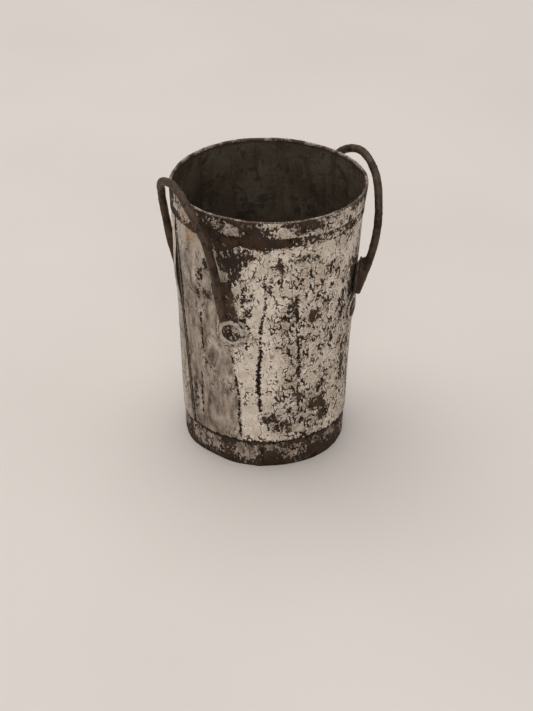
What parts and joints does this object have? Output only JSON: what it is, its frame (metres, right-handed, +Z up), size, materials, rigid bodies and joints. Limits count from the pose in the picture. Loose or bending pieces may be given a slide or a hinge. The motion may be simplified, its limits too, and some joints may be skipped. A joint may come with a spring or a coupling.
{
  "type": "milk pail",
  "caption": "Small tapered sheet-metal milk pail, open at the top, with a lapped side seam, a folded rim band, a foot band and two riveted wire side handles.",
  "frame": {"origin": "centre of the pail on the surface it stands on", "axes": "+Z up along the pail's axis; the two handles stand on the +X and -X sides; the leaning side seam runs down the wall under the handle on the -X side"},
  "size_m": [0.1314, 0.12, 0.1852],
  "materials": {
    "painted_tin": "old pale paint, crackled and flaking off dark rusted tinplate",
    "rim_tin": "rust-brown tinplate with scraps of pale paint and a worn top edge",
    "foot_tin": "rust-brown tinplate with scraps of pale paint",
    "base_tin": "dull tarnished tinplate",
    "solder": "dull grey solder",
    "handle_iron": "dark brown rusted wrought iron",
    "plate_tin": "old pale paint over tinplate",
    "rivet_iron": "worn dark iron with scraps of pale paint"
  },
  "bodies": {
    "root": {"wall": "painted_tin", "rim_band": "rim_tin", "foot_band": "foot_tin", "base_disc": "base_tin", "base_solder": "solder", "side_seam_solder": "solder", "handle_right": "handle_iron", "handle_left": "handle_iron", "backing_plate_right_front": "plate_tin", "backing_plate_right_rear": "plate_tin", "backing_plate_left_front": "plate_tin", "backing_plate_left_rear": "plate_tin", "washer_right_front": "plate_tin", "washer_right_rear": "plate_tin", "washer_left_front": "plate_tin", "washer_left_rear": "plate_tin", "rivet_right_front": "rivet_iron", "rivet_right_rear": "rivet_iron", "rivet_left_front": "rivet_iron", "rivet_left_rear": "rivet_iron"}
  },
  "joints": []
}
